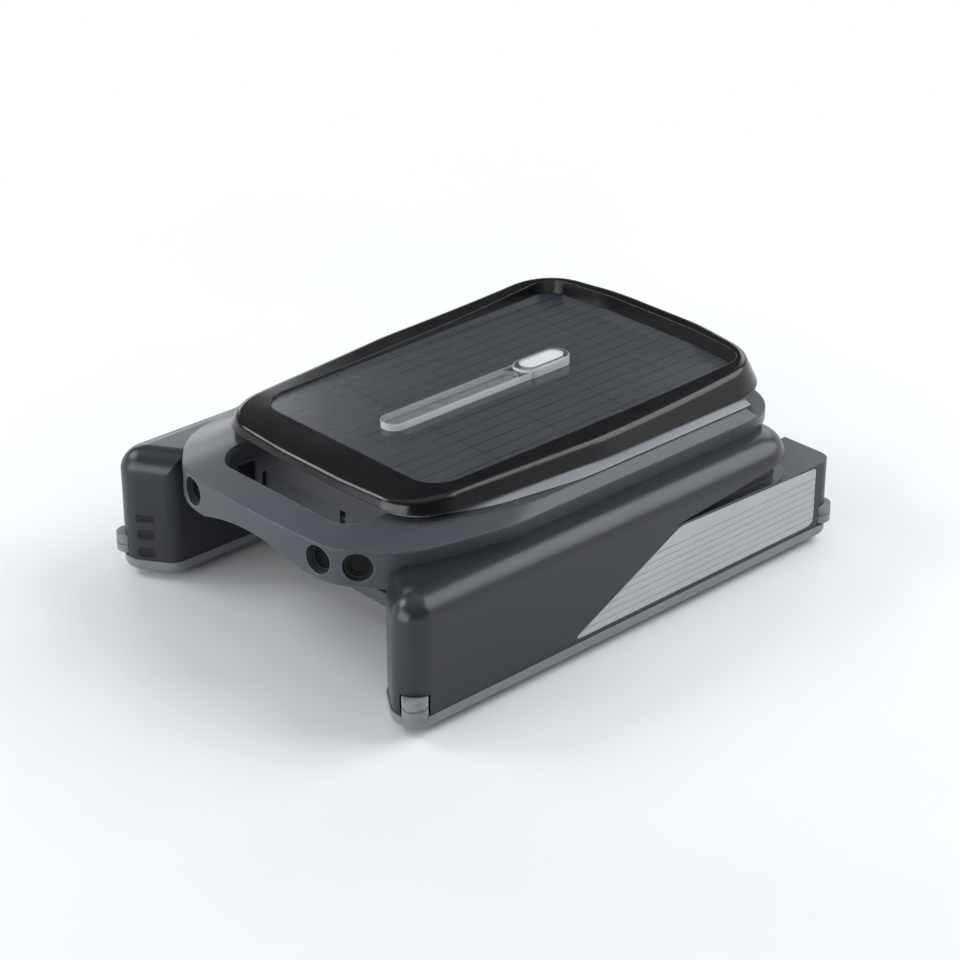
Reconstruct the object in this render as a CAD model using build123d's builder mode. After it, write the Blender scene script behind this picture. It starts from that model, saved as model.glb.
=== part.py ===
from build123d import *
import math
import os

# Solar pool skimmer: two floats, a bridge deck with a carrying bar, a hinged solar lid and a basket.
# Millimetres. The front faces -Y, the right float is at +X, and Z = 0 is the ground under the feet.

# Clearances
running_gap = 0.05
seat_gap = 0.3

# Floats
tunnel_half_width = 144.0
float_width = 59.0
nose_y = -252.0
tail_y = 266.0
nose_angle = 34.0
nose_radius = 20.0
nose_inner_radius = 16.0
tail_radius = 15.0
float_wall = 3.0
float_top = 124.0
shoulder_radius = 22.0
tail_top = 83.0
bulge_tail_y = 222.0
bulge_tail_share = 0.7

# Shadow groove under the shoulder bulge
groove_front_y = 50.0
groove_front_z = 88.0
groove_mid_y = 160.0
groove_mid_z = 99.0
groove_rear_z = 112.0
groove_depth = 9.0

# Bottom trays, their screws and the feet
tray_low = 6.0
tray_top = 18.0
tray_floor = 3.0
tray_lip = 1.2
tray_edge_radius = 7.0
tray_screw_inset = 7.0
tray_screw_front_y = -200.0
tray_screw_middle_y = -20.0
tray_screw_rear_y = 215.0
tray_boss_top = 42.0
foot_length = 44.0
foot_width = 22.0
foot_inset = 46.0
foot_edge_radius = 2.0

# Screws and the pillars that take them
screw_diameter = 3.2
screw_head_diameter = 6.4
screw_head_height = 2.0
screw_slot = 1.2
pillar_diameter = 9.0

# Ribbed side covers
cover_thickness = 1.6
cover_low_z = 22.0
cover_tail_y = 242.0
cover_tail_z = 80.5
cover_top_y = 60.0
cover_top_z = 86.0
cover_front_y = -72.0
cover_corner = 8.0
cover_top_radius = 25.0
rib_count = 7
rib_pitch = 6.8
rib_width = 0.8
rib_depth = 0.6

# Paddle drive, one in each float
wheel_y = 132.0
wheel_z = 52.0
wheel_radius = 42.0
wheel_hub_radius = 9.0
wheel_disc_radius = 32.0
wheel_disc_thickness = 2.0
paddle_count = 8
paddle_thickness = 2.5
paddle_bow = 5.0
axle_diameter = 6.0
bush_diameter = 10.0
outer_boss_length = 8.0
outer_boss_diameter = 18.0
gear_module = 1.25
wheel_gear_teeth = 36
idler_teeth = 36
pinion_teeth = 12
tooth_thickness = 1.55
tooth_addendum = 1.1
tooth_dedendum = 1.45
flank_angle = 20.0
gear_width = 6.0
gear_gap = 2.0
gear_hub_diameter = 12.0
gear_web_recess = 1.5
plate_thickness = 2.5
plate_low_z = 19.5
plate_high_z = 85.0
plate_margin = 22.0
plate_boss_diameter = 8.0
plate_boss_inset = 6.0
plate_corner = 6.0
plate_axle_clearance = 3.0
idler_pin_diameter = 5.0
motor_diameter = 30.0
motor_end_gap = 5.5
motor_shaft_diameter = 3.2
motor_shaft_depth = 12.0
motor_cap_diameter = 20.0
motor_cap_length = 3.0
motor_shaft_clearance = 0.4
well_wall = 3.0
wheel_side_gap = 3.0
wheel_boss_gap = 3.5
wheel_end_gap = 4.0

# Battery packs in the front of the floats
cell_diameter = 18.4
cell_length = 65.0
cell_groove = 1.2
cradle_wall = 2.0
cradle_height = 18.0
battery_y = -120.0

# Corner bumper rollers
roller_radius = 11.0
roller_height = 18.0
roller_low_z = 19.5
roller_side_inset = 7.5
roller_end_inset = 8.0
roller_pin_diameter = 4.0
roller_pocket_gap = 1.5
roller_end_gap = 0.5
roller_boss_wall = 3.5
roller_groove_width = 2.5
roller_groove_depth = 1.2

# Charge socket and vents on the left nose
charge_inset = 22.5
charge_z = 60.0
charge_width = 18.0
charge_height = 8.0
vent_upper_z = 44.0
vent_lower_z = 25.5
vent_width = 18.0
vent_height = 11.0
port_depth = 1.5

# Deck
deck_band_top = 137.0
deck_rim_top = 144.0
deck_wall = 3.0
deck_front_y = -250.0
deck_overlap = 28.0
deck_rear_y = 244.0
rim_inset = 9.0
rim_front_y = -194.0
rim_front_bow = 3.0
rim_rear_y = 232.0
pod_inset = 72.0
pod_bend = 60.0
shoulder_inset = 22.0
shoulder_y = -208.0
shoulder_bend = 80.0
side_y = -110.0
side_bend = 150.0
rear_bend = 66.0
rim_pod_inset = 71.0
rim_pod_bend = 45.0
rim_shoulder_inset = 31.0
rim_shoulder_y = -168.0
rim_shoulder_bend = 55.0
rim_side_y = -95.0
rim_rear_bend = 52.0
band_edge_radius = 1.5
handle_flare = 2.5
skirt_low = 100.0
skirt_rear_y = -196.0
skirt_edge_radius = 7.0
skirt_wall = 8.0
bar_bow = 5.0
bar_bow_half = 30.0
bar_bow_radius = 500.0
bar_rise = 16.5
bar_half_span = 76.0
handle_half_width = 91.0
handle_front_y = -221.0
handle_corner = 26.0
well_side_gap = 18.0
well_front_y = -160.0
well_rear_y = 150.0
well_corner = 16.0
well_step = 5.0
well_step_z = 138.0
rear_ledge_z = 133.0
rear_ledge_y = 197.0
rear_ledge_slope = 10.0
deck_rib_thickness = 2.5
deck_rib_front_y = -60.0
deck_rib_middle_y = 60.0
deck_screw_inset = 6.0
deck_screw_front_y = -90.0
deck_screw_middle_y = 30.0
deck_screw_rear_y = 172.0
deck_screw_low = 108.0

# Sonar sensors in the deck's front corners
sensor_z = 121.5
sensor_bore = 26.5
sensor_depth = 12.5
sensor_wall = 3.0
sensor_length = 5.0
sensor_face_recess = 1.0
transducer_diameter = 20.0
transducer_face_share = 0.75
front_sensor_inset = 88.0
front_sensor_y = -250.8
front_sensor_yaw = 4.0
corner_sensor_inset = 53.0
corner_sensor_y = -237.0
corner_sensor_yaw = 44.0

# Solar lid
frame_low = 150.0
frame_wall = 3.5
lid_front_y = -187.0
lid_front_bow = 5.0
lid_front_bow_half = 40.0
lid_front_inset = 28.0
lid_flare_y = 20.0
lid_flare_inset = 1.0
lid_rear_inset = 9.0
lid_side_rear_y = 240.0
lid_rear_y = 255.0
lid_bow_half = 55.0
lid_front_corner = 50.0
lid_rear_corner = 60.0
lid_flare_radius = 300.0
lid_bow_radius = 240.0
lid_lean = 18.0
lid_form_top = 190.0
rim_front_z = 157.0
rim_shelf_y = -162.0
rim_shelf_z = 162.4
rim_flat_y = -105.0
rim_flat_z = 164.8
rim_mid_y = -10.0
rim_mid_z = 165.8
rim_rise_y = 95.0
rim_rise_z = 168.0
rim_rear_z = 177.5
rim_outer_radius = 6.5
recess_lean = 6.0
panel_top = 162.0
panel_thickness = 3.0
panel_floor = 3.0
panel_ring = 5.0
panel_front_inset = 19.0
panel_rear_inset = 28.0
panel_front_y = -150.0
panel_side_rear_y = 219.0
panel_rear_y = 227.0
panel_front_corner = 28.0
panel_rear_corner = 20.0
panel_bow_radius = 138.0
base_floor = 2.0
base_ring = 16.0
strip_inset = 2.0
strip_front_inset = 49.0
strip_front_y = -182.0
strip_shoulder_inset = 15.0
strip_shoulder_y = -110.0
strip_side_y = -20.0
strip_side_rear_y = 228.0
strip_rear_y = 243.0
strip_front_bend = 40.0
strip_shoulder_bend = 150.0
strip_side_bend = 200.0
strip_rear_bend = 50.0
neck_front_lean = 2.0
neck_shoulder_lean = 12.0
neck_side_lean = 16.0
neck_rear_lean = 11.0
neck_end_lean = 3.0
notch_front_y = 196.0
notch_depth = 20.0
lid_screw_front_y = -110.0
lid_screw_middle_y = 40.0
lid_screw_rear_y = 170.0

# Light bar and power button
bar_width = 24.0
bar_front_y = -104.0
bar_rear_y = 118.0
bar_height = 6.0
collar_length = 62.0
collar_width = 26.5
collar_height = 9.0
bar_edge_radius = 2.0
bar_wall = 2.0
led_board_width = 9.0
led_board_thickness = 1.0
led_board_gap = 2.0
led_size = 5.0
led_height = 1.4
led_pitch = 18.0
led_count = 8
button_length = 48.0
button_width = 17.0
button_height = 3.5
button_edge_radius = 1.0
button_seat_height = 3.5
button_stem_length = 30.0
button_stem_width = 7.0
button_travel = 1.2
button_clearance = 0.4
board_length = 70.0
board_width = 40.0
board_thickness = 1.6
board_post_height = 2.2
board_post_diameter = 6.0
board_post_inset = 5.0
switch_size = 6.0
switch_height = 2.0

# Lid hinge
hinge_y = 240.0
hinge_z = 139.0
knuckle_radius = 4.5
hinge_pin_diameter = 4.0
hinge_x = 62.0
lid_knuckle_length = 20.0
deck_knuckle_length = 10.0
knuckle_gap = 0.4

# Debris basket and its one-way flaps
basket_wall = 2.5
basket_low = 32.0
basket_flange = 2.5
basket_gap = 1.2
basket_flange_gap = 0.5
mouth_low = 44.0
mouth_high = 104.0
mouth_half_width = 106.0
mouth_corner = 8.0
window_low = 46.0
window_high = 122.0
window_gap = 8.0
window_margin = 14.0
window_corner = 4.0
side_windows = 5
rear_windows = 4
floor_rows = 4
floor_columns = 3
mesh_thickness = 0.8
flap_axis_z = 111.0
flap_pin_diameter = 4.0
flap_thickness = 2.0
flap_tube_radius = 3.5
flap_tube_gap = 0.8
flap_low = 39.0
flap_side_gap = 0.8
flap_rib_depth = 2.0
flap_rib_height = 2.0
flap_ribs = 3
lug_width = 6.0
lug_reach = 4.0
grip_length = 50.0
grip_width = 16.0
grip_slot = 6.0

# Widths that follow from the values above
float_half_width = tunnel_half_width + float_width
bulge_tail_radius = bulge_tail_share * float_width
roller_x = float_half_width - roller_side_inset
tray_screw_x = tunnel_half_width + tray_screw_inset
deck_screw_x = tunnel_half_width + deck_screw_inset
charge_x = tunnel_half_width + charge_inset
well_half_width = tunnel_half_width - well_side_gap
deck_half_width = tunnel_half_width + deck_overlap
front_sensor_x = deck_half_width - front_sensor_inset
corner_sensor_x = deck_half_width - corner_sensor_inset
rim_half_width = deck_half_width - rim_inset
lid_front_half = rim_half_width - lid_front_inset
lid_rear_half = rim_half_width - lid_rear_inset
panel_front_half = lid_front_half - panel_front_inset
panel_rear_half = lid_rear_half - panel_rear_inset
strip_half_width = rim_half_width - strip_inset


def outline(points, radii):
    """Closed outline through the points, each corner rounded."""
    with BuildSketch() as shape:
        with BuildLine():
            FilletPolyline(*points, radius=radii, close=True)
        make_face()
    return shape.sketch


def mirrored_outline(half, radii):
    """Closed outline with its right half given from front to rear."""
    left = [(-x, y) for x, y in reversed(half)]
    return outline(half + left, radii + radii[::-1])


def rounded_box_outline(half_width, front_y, rear_y, corner):
    """Rectangle about the middle line with rounded corners."""
    points = [(half_width, front_y), (half_width, rear_y)]
    return mirrored_outline(points, [corner, corner])


def grown(face, amount):
    """The outline moved outwards, or inwards where amount is negative."""
    with BuildSketch() as shape:
        add(face)
        offset(amount=amount, kind=Kind.INTERSECTION)
    return shape.sketch


def prism(face, low, high):
    """An outline drawn upwards from one height to another."""
    with BuildPart() as block:
        with BuildSketch(Plane.XY.offset(low)):
            add(face)
        extrude(amount=high - low)
    return block.part


def side_plane(x, y, z):
    """Plane across the machine, its first direction along +Y and its second along +Z."""
    return Plane(origin=(x, y, z), x_dir=(0, 1, 0), z_dir=(1, 0, 0))


def side_prism(face, near_x, far_x):
    """An outline in the side view (Y, Z) drawn sideways from one X to another."""
    with BuildPart() as block:
        with BuildSketch(side_plane(near_x, 0, 0)):
            add(face)
        extrude(amount=far_x - near_x)
    return block.part


def side_disc(diameter, near_x, far_x, y, z):
    """A cylinder across the machine."""
    with BuildPart() as block:
        with BuildSketch(side_plane(near_x, y, z)):
            Circle(diameter / 2)
        extrude(amount=far_x - near_x)
    return block.part


def pillars(spots, diameter, low, high):
    """Upright cylinders at the given places."""
    with BuildPart() as block:
        with Locations(*[(x, y, low) for x, y in spots]):
            Cylinder(diameter / 2, high - low, align=(Align.CENTER, Align.CENTER, Align.MIN))
    return block.part


def screws(spots, head_z, tip_z):
    """Slotted screws; the head ends at head_z and the shank at tip_z."""
    way = 1 if tip_z > head_z else -1
    neck_z = head_z + way * screw_head_height
    slot_z = head_z + way * screw_slot
    with BuildPart() as block:
        add(pillars(spots, screw_head_diameter, min(head_z, neck_z), max(head_z, neck_z)))
        add(pillars(spots, screw_diameter, min(neck_z, tip_z), max(neck_z, tip_z)))
        with Locations(*[(x, y, (head_z + slot_z) / 2) for x, y in spots]):
            Box(screw_head_diameter, screw_slot, screw_slot, mode=Mode.SUBTRACT)
    return block.part


def mirrored(piece):
    """The left-hand twin of a right-hand piece."""
    with BuildPart() as twin:
        mirror(piece, about=Plane.YZ)
    return twin.part


pieces = {}


def keep(label, piece):
    """Move a finished piece so that the origin lies under the middle, label it and remember it."""
    centred = piece.moved(Location((0, -(nose_y + tail_y) / 2, 0)))
    centred.label = label
    pieces[label] = centred


def keep_pair(label, piece):
    """Keep a right-hand piece and its left-hand twin."""
    keep("left_" + label, mirrored(piece))
    keep("right_" + label, piece)


# Float form


def float_plan(inset, rear_y, rear_radius, inner_radius=0):
    """Plan of the right float, with its nose face turned towards the tunnel."""
    outer = float_half_width - inset
    inner = tunnel_half_width + inset
    radius = nose_radius - inset
    turn = math.radians(nose_angle)
    tangent_x = outer - radius - radius * math.sin(turn)
    tangent_y = nose_y + inset + radius - radius * math.cos(turn)
    nose_outer = (outer, tangent_y - (outer - tangent_x) * math.tan(turn))
    nose_inner = (inner, tangent_y + (tangent_x - inner) * math.tan(turn))
    points = [nose_inner, nose_outer, (outer, rear_y - inset), (inner, rear_y - inset)]
    return outline(points, [inner_radius, radius, rear_radius - inset, 0])


def float_form(inset, low):
    """The float's outer form, or its hollow when inset by the wall."""
    with BuildPart() as form:
        with BuildSketch(Plane.XY.offset(low)):
            add(float_plan(inset, tail_y, tail_radius))
        extrude(amount=tail_top - inset - low)
        with BuildSketch(Plane.XY.offset(low)):
            add(float_plan(inset, bulge_tail_y, bulge_tail_radius))
        extrude(amount=float_top - inset - low)
        top_edges = form.edges().group_by(Axis.Z)[-1].sort_by(Axis.X)[1:]
        fillet(top_edges, shoulder_radius - inset)
    return form.part


# Places along the drive, from the tunnel wall outwards
inner_face_x = tunnel_half_width + float_wall
outer_face_x = float_half_width - float_wall
gear_x = inner_face_x + gear_gap
plate_x = gear_x + gear_width + gear_gap
plate_back_x = plate_x + plate_thickness
wheel_x = plate_back_x + wheel_side_gap
boss_x = outer_face_x - outer_boss_length
wheel_width = boss_x - wheel_x - wheel_boss_gap
motor_length = outer_face_x - plate_back_x - motor_cap_length - motor_end_gap
idler_y = wheel_y - gear_module * (wheel_gear_teeth + idler_teeth) / 2
pinion_y = idler_y - gear_module * (idler_teeth + pinion_teeth) / 2
plate_front_y = pinion_y - plate_margin
plate_rear_y = wheel_y + plate_margin
plate_boss_spots = [
    (y, z)
    for y in (plate_front_y + plate_boss_inset, plate_rear_y - plate_boss_inset)
    for z in (plate_low_z + plate_boss_inset, plate_high_z - plate_boss_inset)
]
wheel_well_front_y = wheel_y - wheel_radius - wheel_end_gap
wheel_well_rear_y = wheel_y + wheel_radius + wheel_end_gap
roller_spots = [(roller_x, nose_y + roller_end_inset), (roller_x, tail_y - roller_end_inset)]
roller_pocket_low = roller_low_z - roller_end_gap
roller_pocket_top = roller_low_z + roller_height + roller_end_gap
roller_boss_top = roller_pocket_top + roller_boss_wall
tray_screw_spots = [
    (tray_screw_x, y) for y in (tray_screw_front_y, tray_screw_middle_y, tray_screw_rear_y)
]
deck_screw_spots = [
    (deck_screw_x, y) for y in (deck_screw_front_y, deck_screw_middle_y, deck_screw_rear_y)
]

# Side cover outline in the side view
cover_points = [
    (cover_front_y, cover_low_z),
    (cover_tail_y, cover_low_z),
    (cover_tail_y, cover_tail_z),
    (cover_top_y, cover_top_z),
]
cover_radii = [cover_corner / 4, cover_corner, cover_corner / 2, cover_top_radius]
cover_seat = outline(cover_points, cover_radii)

# Shadow groove under the bulge, in the side view, deeper towards the tail
with BuildSketch() as groove_side:
    with BuildLine():
        ThreePointArc(
            (groove_front_y, groove_front_z), (groove_mid_y, groove_mid_z), (tail_y, groove_rear_z)
        )
        Polyline(
            (tail_y, groove_rear_z), (tail_y, tail_top), (groove_front_y, groove_front_z)
        )
    make_face()

bulge_plan = float_plan(0, bulge_tail_y, bulge_tail_radius)
groove_floor_plan = float_plan(groove_depth, bulge_tail_y, bulge_tail_radius)
groove_back_plan = float_plan(groove_depth + float_wall, bulge_tail_y, bulge_tail_radius)

with BuildPart() as groove:
    add(side_prism(groove_side.sketch, inner_face_x, float_half_width + tray_lip))
    add(prism(groove_floor_plan, tail_top, float_top), mode=Mode.SUBTRACT)

# Hollow of the float, leaving bulkheads, the groove's back wall, the bosses and the pillars
with BuildPart() as groove_backing:
    add(prism(bulge_plan, tail_top - 2 * float_wall, float_top))
    add(prism(groove_back_plan, tail_top - 2 * float_wall, float_top), mode=Mode.SUBTRACT)
    split(bisect_by=Plane.XZ.offset(-(groove_front_y - groove_depth)), keep=Keep.BOTTOM)

with BuildPart() as hollow:
    add(float_form(float_wall, tray_top))
    add(groove_backing.part, mode=Mode.SUBTRACT)
    for wall_y in (wheel_well_front_y - well_wall, wheel_well_rear_y):
        with Locations((plate_back_x, wall_y, tray_top)):
            Box(
                float_half_width,
                well_wall,
                float_top,
                align=(Align.MIN, Align.MIN, Align.MIN),
                mode=Mode.SUBTRACT,
            )
    roller_boss_diameter = 2 * (roller_radius + roller_pocket_gap + roller_boss_wall)
    add(pillars(roller_spots, roller_boss_diameter, tray_top, roller_boss_top), mode=Mode.SUBTRACT)
    add(pillars(tray_screw_spots, pillar_diameter, tray_top, tray_boss_top), mode=Mode.SUBTRACT)
    deck_boss_low = deck_screw_low - 2 * float_wall
    add(pillars(deck_screw_spots, pillar_diameter, deck_boss_low, float_top), mode=Mode.SUBTRACT)

# The nose's inner corner is rounded over its whole height
with BuildSketch(Plane.XY.offset(tray_top)) as nose_corner:
    add(float_plan(0, tail_y, tail_radius))
    add(float_plan(0, tail_y, tail_radius, nose_inner_radius), mode=Mode.SUBTRACT)

with BuildPart() as right_float:
    add(float_form(0, tray_top))
    extrude(nose_corner.sketch, amount=float_top - tray_top, mode=Mode.SUBTRACT)
    add(hollow.part, mode=Mode.SUBTRACT)
    add(groove.part, mode=Mode.SUBTRACT)
    # Seat of the ribbed cover
    add(
        side_prism(cover_seat, float_half_width - cover_thickness, float_half_width + tray_lip),
        mode=Mode.SUBTRACT,
    )
    # Bosses that carry the gear plate, and the axle's outer bearing
    with BuildSketch(side_plane(inner_face_x, 0, 0)):
        with Locations(*plate_boss_spots):
            Circle(plate_boss_diameter / 2)
    extrude(amount=plate_x - inner_face_x)
    add(side_disc(outer_boss_diameter, boss_x, outer_face_x, wheel_y, wheel_z))
    # Bush seats: through the tunnel wall, and blind in the outer boss
    add(side_disc(bush_diameter, tunnel_half_width, inner_face_x, wheel_y, wheel_z), mode=Mode.SUBTRACT)
    add(side_disc(bush_diameter, boss_x, outer_face_x, wheel_y, wheel_z), mode=Mode.SUBTRACT)
    # Roller pockets and the holes of pins and screws
    roller_pocket_diameter = 2 * (roller_radius + roller_pocket_gap)
    add(
        pillars(roller_spots, roller_pocket_diameter, roller_pocket_low, roller_pocket_top),
        mode=Mode.SUBTRACT,
    )
    add(pillars(roller_spots, roller_pin_diameter, tray_top, roller_boss_top), mode=Mode.SUBTRACT)
    tray_screw_tip = tray_boss_top - 2 * float_wall
    add(pillars(tray_screw_spots, screw_diameter, tray_top, tray_screw_tip), mode=Mode.SUBTRACT)
    add(pillars(deck_screw_spots, screw_diameter, deck_screw_low, float_top), mode=Mode.SUBTRACT)

# Left float, with the charge socket's recess and two vents in its nose face
turn = math.radians(nose_angle)
nose_tangent_y = nose_y + nose_radius * (1 - math.cos(turn))
nose_tangent_x = float_half_width - nose_radius * (1 + math.sin(turn))
charge_y = nose_tangent_y + (nose_tangent_x - charge_x) * math.tan(turn)
nose_plane = Plane(
    origin=(-charge_x, charge_y, 0),
    x_dir=(math.cos(turn), math.sin(turn), 0),
    z_dir=(math.sin(turn), -math.cos(turn), 0),
)
with BuildSketch(nose_plane) as charge_seat:
    with Locations((0, charge_z)):
        RectangleRounded(charge_width, charge_height, charge_height / 5)
with BuildSketch(nose_plane) as vent_seats:
    with Locations((0, vent_upper_z), (0, vent_lower_z)):
        SlotOverall(vent_width, vent_height)

with BuildPart() as left_float:
    add(mirrored(right_float.part))
    extrude(charge_seat.sketch, amount=-port_depth, mode=Mode.SUBTRACT)
    extrude(vent_seats.sketch, amount=-port_depth, mode=Mode.SUBTRACT)

keep("right_float", right_float.part)
keep("left_float", left_float.part)

with BuildPart() as charge_plug:
    extrude(charge_seat.sketch, amount=-port_depth)
    with BuildSketch(nose_plane.offset(-port_depth / 2)):
        with Locations((0, charge_z)):
            RectangleRounded(charge_width / 2, charge_height / 3, charge_height / 8)
    extrude(amount=port_depth, mode=Mode.SUBTRACT)
keep("charge_plug", charge_plug.part)

with BuildPart() as vent_plugs:
    extrude(vent_seats.sketch, amount=-port_depth)
    with BuildSketch(nose_plane.offset(-port_depth / 2)):
        with Locations((0, vent_upper_z), (0, vent_lower_z)):
            SlotOverall(vent_width - 3 * port_depth, vent_height - 3 * port_depth)
    extrude(amount=port_depth, mode=Mode.SUBTRACT)
keep("vent_plugs", vent_plugs.part)

# Ribbed side cover
with BuildPart() as side_cover:
    add(
        side_prism(
            grown(cover_seat, -seat_gap), float_half_width - cover_thickness, float_half_width
        )
    )
    cover_middle_y = (cover_front_y + cover_tail_y) / 2
    with BuildSketch(side_plane(float_half_width - rib_depth, cover_middle_y, cover_low_z)):
        with Locations(*[(0, rib_pitch * n) for n in range(1, rib_count + 1)]):
            Rectangle(cover_tail_y - cover_front_y, rib_width)
    extrude(amount=rib_depth, mode=Mode.SUBTRACT)
keep_pair("side_cover", side_cover.part)

# Bottom tray, open under the paddle wheel
tray_plan = float_plan(0, tail_y, tail_radius, nose_inner_radius)
with BuildPart() as tray:
    add(prism(grown(tray_plan, tray_lip), tray_low, tray_top))
    fillet(tray.edges().group_by(Axis.Z)[0], tray_edge_radius)
    add(
        prism(float_plan(float_wall, tail_y, tail_radius), tray_low + tray_floor, tray_top),
        mode=Mode.SUBTRACT,
    )
    with Locations((plate_back_x, wheel_well_front_y, tray_low)):
        Box(
            wheel_width + 2 * wheel_side_gap,
            wheel_well_rear_y - wheel_well_front_y,
            tray_floor,
            align=(Align.MIN, Align.MIN, Align.MIN),
            mode=Mode.SUBTRACT,
        )
    add(pillars(tray_screw_spots, pillar_diameter, tray_low, tray_top))
    add(pillars(tray_screw_spots, screw_diameter, tray_low, tray_top), mode=Mode.SUBTRACT)
    add(
        pillars(tray_screw_spots, screw_head_diameter, tray_low, tray_low + screw_head_height),
        mode=Mode.SUBTRACT,
    )
    # Rollers' pins end in the tray's rim
    add(pillars(roller_spots, roller_pin_diameter, tray_low + tray_floor, tray_top), mode=Mode.SUBTRACT)
keep_pair("tray", tray.part)

with BuildPart() as tray_screws:
    add(screws(tray_screw_spots, tray_low, tray_screw_tip))
    add(screws([(-x, y) for x, y in tray_screw_spots], tray_low, tray_screw_tip))
keep("tray_screws", tray_screws.part)

# Feet, one at each end of each tray
foot_x = (float_half_width + tunnel_half_width) / 2
with BuildPart() as feet:
    with BuildSketch():
        foot_ends = (nose_y + foot_inset, tail_y - foot_inset)
        with Locations(*[(x, y) for x in (-foot_x, foot_x) for y in foot_ends]):
            RectangleRounded(foot_width, foot_length, foot_width / 3)
    extrude(amount=tray_low)
    fillet(feet.edges().group_by(Axis.Z)[0], foot_edge_radius)
keep("feet", feet.part)

# Corner rollers on upright pins
for end, (spot_x, spot_y) in zip(("front", "rear"), roller_spots):
    with BuildPart() as roller:
        with Locations((spot_x, spot_y, roller_low_z)):
            Cylinder(roller_radius, roller_height, align=(Align.CENTER, Align.CENTER, Align.MIN))
        fillet(roller.edges().filter_by(GeomType.CIRCLE), roller_groove_depth)
        groove_low = roller_low_z + (roller_height - roller_groove_width) / 2
        with BuildSketch(Plane.XY.offset(groove_low)):
            with Locations((spot_x, spot_y)):
                Circle(roller_radius)
                Circle(roller_radius - roller_groove_depth, mode=Mode.SUBTRACT)
        extrude(amount=roller_groove_width, mode=Mode.SUBTRACT)
        bore = roller_pin_diameter + 2 * running_gap
        add(
            pillars([(spot_x, spot_y)], bore, roller_low_z, roller_low_z + roller_height),
            mode=Mode.SUBTRACT,
        )
    keep_pair(end + "_roller", roller.part)

pin_low = tray_low + tray_floor
with BuildPart() as roller_pins:
    add(pillars(roller_spots, roller_pin_diameter, pin_low, roller_boss_top))
    add(pillars([(-x, y) for x, y in roller_spots], roller_pin_diameter, pin_low, roller_boss_top))
keep("roller_pins", roller_pins.part)

# Geared paddle drive


def gear_face(teeth, bore, first_angle):
    """Gear with straight flanks; first_angle points at the middle of a tooth."""
    pitch_radius = gear_module * teeth / 2
    lean = math.tan(math.radians(flank_angle))
    root_half = tooth_thickness / 2 + tooth_dedendum * lean
    tip_half = tooth_thickness / 2 - tooth_addendum * lean
    root = pitch_radius - tooth_dedendum
    tip = pitch_radius + tooth_addendum
    points = []
    for n in range(teeth):
        for radius, across in ((root, -root_half), (tip, -tip_half), (tip, tip_half), (root, root_half)):
            angle = math.radians(first_angle + 360 * n / teeth) + math.asin(across / radius)
            points.append((radius * math.cos(angle), radius * math.sin(angle)))
    with BuildSketch() as shape:
        with BuildLine():
            Polyline(*points, close=True)
        make_face()
        Circle(bore / 2, mode=Mode.SUBTRACT)
    return shape.sketch


def gear(teeth, bore, first_angle, y):
    """A spur gear in the drive's gear plane, its web thinned on both sides."""
    web_radius = gear_module * teeth / 2 - 3 * tooth_dedendum
    with BuildPart() as block:
        with BuildSketch(side_plane(gear_x, y, wheel_z)):
            add(gear_face(teeth, bore, first_angle))
        extrude(amount=gear_width)
        for near_x in (gear_x, gear_x + gear_width - gear_web_recess):
            with BuildSketch(side_plane(near_x, y, wheel_z)):
                Circle(web_radius)
                Circle(gear_hub_diameter / 2, mode=Mode.SUBTRACT)
            extrude(amount=gear_web_recess, mode=Mode.SUBTRACT)
    return block.part


idler_half_step = 180.0 / idler_teeth
keep_pair("wheel_gear", gear(wheel_gear_teeth, axle_diameter, 180.0, wheel_y))
keep_pair(
    "idler_gear", gear(idler_teeth, idler_pin_diameter + 2 * running_gap, idler_half_step, idler_y)
)

with BuildPart() as pinion:
    with BuildSketch(side_plane(gear_x, pinion_y, wheel_z)):
        add(gear_face(pinion_teeth, motor_shaft_diameter, 0.0))
    extrude(amount=gear_width)
    add(
        side_disc(motor_shaft_diameter, gear_x, plate_back_x + motor_shaft_depth, pinion_y, wheel_z)
    )
keep_pair("pinion", pinion.part)

# Paddle wheel on its axle
with BuildSketch() as paddle:
    near = wheel_hub_radius - paddle_thickness
    middle = (near + wheel_radius) / 2
    half = paddle_thickness / 2
    with BuildLine():
        ThreePointArc((near, -half), (middle, paddle_bow - half), (wheel_radius, -half))
        Line((wheel_radius, -half), (wheel_radius, half))
        ThreePointArc((wheel_radius, half), (middle, paddle_bow + half), (near, half))
        Line((near, half), (near, -half))
    make_face()

with BuildPart() as paddle_wheel:
    with BuildSketch(side_plane(wheel_x, wheel_y, wheel_z)):
        with PolarLocations(0, paddle_count):
            add(paddle.sketch)
        Circle(wheel_hub_radius)
        Circle(axle_diameter / 2, mode=Mode.SUBTRACT)
    extrude(amount=wheel_width)
    with BuildSketch(side_plane(wheel_x + (wheel_width - wheel_disc_thickness) / 2, wheel_y, wheel_z)):
        Circle(wheel_disc_radius)
        Circle(axle_diameter / 2, mode=Mode.SUBTRACT)
    extrude(amount=wheel_disc_thickness)
keep_pair("paddle_wheel", paddle_wheel.part)

axle_end_x = outer_face_x - seat_gap
keep_pair("axle", side_disc(axle_diameter, tunnel_half_width, axle_end_x, wheel_y, wheel_z))

with BuildPart() as bushes:
    for near_x, far_x in ((tunnel_half_width, inner_face_x), (boss_x, outer_face_x)):
        add(side_disc(bush_diameter, near_x, far_x, wheel_y, wheel_z))
        bore = axle_diameter + 2 * running_gap
        add(side_disc(bore, near_x, far_x, wheel_y, wheel_z), mode=Mode.SUBTRACT)
with BuildPart() as axle_bushes:
    add(bushes.part)
    add(mirrored(bushes.part))
keep("axle_bushes", axle_bushes.part)

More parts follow.
